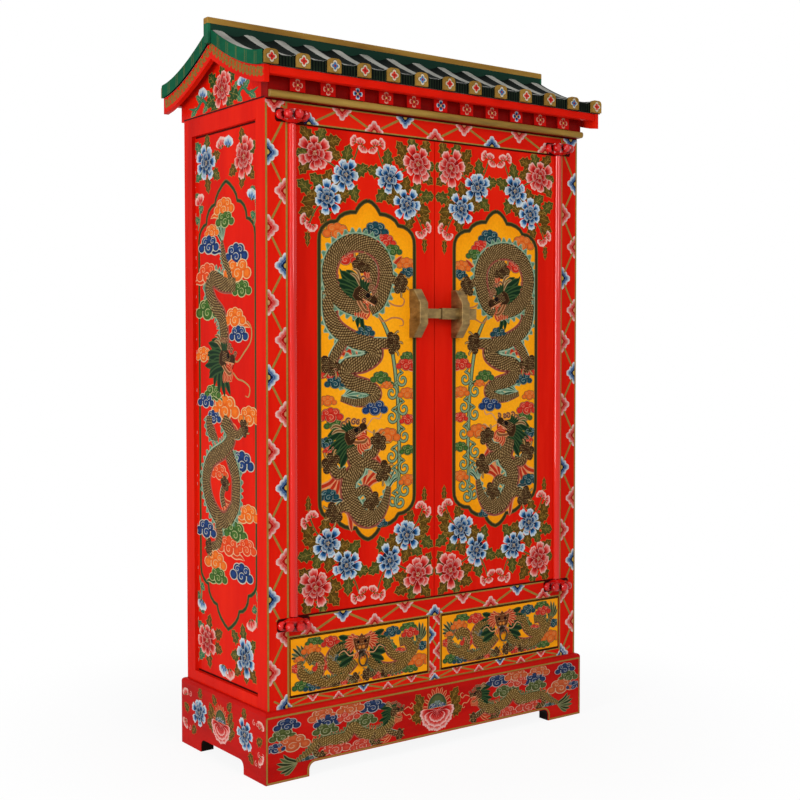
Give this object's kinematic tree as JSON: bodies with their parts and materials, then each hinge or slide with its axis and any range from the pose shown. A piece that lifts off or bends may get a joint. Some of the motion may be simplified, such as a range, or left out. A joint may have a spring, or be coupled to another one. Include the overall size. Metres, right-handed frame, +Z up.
{
  "type": "pagoda armoire",
  "caption": "Tall lacquered cabinet with pivot-hung doors, a sliding latch, drawers below, an arched plinth and a concave tiled gable roof.",
  "frame": {"origin": "floor level at the middle of the overall box", "axes": "+Z up, -Y out of the doors, +X to the right of someone facing the doors"},
  "size_m": [1.199, 0.58, 2.01],
  "materials": {
    "red_lacquer": "gloss lacquer",
    "dark_lacquer": "satin lacquer",
    "gilt": "aged gilt paint",
    "roof_tile": "dark green paint",
    "bare_wood": "oiled",
    "aged_brass": "aged",
    "dark_iron": "aged"
  },
  "bodies": {
    "case": {"plinth_front": "red_lacquer", "plinth_back": "red_lacquer", "plinth_left": "red_lacquer", "plinth_right": "red_lacquer", "corner_post_front_left": "red_lacquer", "corner_post_front_right": "red_lacquer", "corner_post_back_left": "red_lacquer", "corner_post_back_right": "red_lacquer", "left_top_rail": "red_lacquer", "left_bottom_rail": "red_lacquer", "left_side_panel": "red_lacquer", "right_top_rail": "red_lacquer", "right_bottom_rail": "red_lacquer", "right_side_panel": "red_lacquer", "front_top_rail": "red_lacquer", "front_middle_rail": "red_lacquer", "front_bottom_rail": "red_lacquer", "drawer_divider": "red_lacquer", "back_panel": "dark_lacquer", "case_top_board": "bare_wood", "case_bottom_board": "bare_wood", "drawer_deck": "bare_wood", "shelf": "bare_wood", "upper_left_pivot_block": "red_lacquer", "upper_right_pivot_block": "red_lacquer", "lower_left_pivot_block": "red_lacquer", "lower_right_pivot_block": "red_lacquer", "ridge_board": "gilt", "front_roof_tiles": "roof_tile", "back_roof_tiles": "roof_tile", "left_gable_panel": "red_lacquer", "right_gable_panel": "red_lacquer", "left_bargeboard": "red_lacquer", "right_bargeboard": "red_lacquer", "front_fascia": "red_lacquer", "dentil_frieze": "red_lacquer", "cornice_moulding": "gilt", "back_eaves_board": "red_lacquer"},
    "left_door": {"left_door_leaf": "red_lacquer", "left_door_post": "red_lacquer", "left_latch_bracket": "aged_brass", "latch_tongue": "aged_brass"},
    "right_door": {"right_door_leaf": "red_lacquer", "right_door_post": "red_lacquer", "right_latch_bracket": "aged_brass"},
    "latch_bolt": {"latch_sleeve": "aged_brass"},
    "left_drawer": {"left_drawer_front": "red_lacquer", "left_drawer_inner_side": "bare_wood", "left_drawer_outer_side": "bare_wood", "left_drawer_back": "bare_wood", "left_drawer_bottom": "bare_wood", "left_pull_plate": "dark_iron"},
    "right_drawer": {"right_drawer_front": "red_lacquer", "right_drawer_inner_side": "bare_wood", "right_drawer_outer_side": "bare_wood", "right_drawer_back": "bare_wood", "right_drawer_bottom": "bare_wood", "right_pull_plate": "dark_iron"},
    "left_drop": {"left_pull_drop": "dark_iron"},
    "right_drop": {"right_pull_drop": "dark_iron"}
  },
  "joints": [
    {"name": "left_door_swing", "type": "hinge", "parent": "case", "child": "left_door", "pos_m": [-0.47, -0.224, 1.07], "axis": [0, 0, -1], "range_deg": [0, 105]},
    {"name": "right_door_swing", "type": "hinge", "parent": "case", "child": "right_door", "pos_m": [0.47, -0.224, 1.07], "axis": [0, 0, 1], "range_deg": [0, 105]},
    {"name": "latch_slide", "type": "slide", "parent": "right_door", "child": "latch_bolt", "axis": [1, 0, 0], "range_m": [-0.028, 0.045]},
    {"name": "left_drawer_slide", "type": "slide", "parent": "case", "child": "left_drawer", "axis": [0, -1, 0], "range_m": [0, 0.28]},
    {"name": "right_drawer_slide", "type": "slide", "parent": "case", "child": "right_drawer", "axis": [0, -1, 0], "range_m": [0, 0.28]},
    {"name": "left_drop_swing", "type": "hinge", "parent": "left_drawer", "child": "left_drop", "pos_m": [-0.2525, -0.2323, 0.30255], "axis": [-1, 0, 0], "range_deg": [0, 80]},
    {"name": "right_drop_swing", "type": "hinge", "parent": "right_drawer", "child": "right_drop", "pos_m": [0.2525, -0.2323, 0.30255], "axis": [-1, 0, 0], "range_deg": [0, 80]}
  ]
}
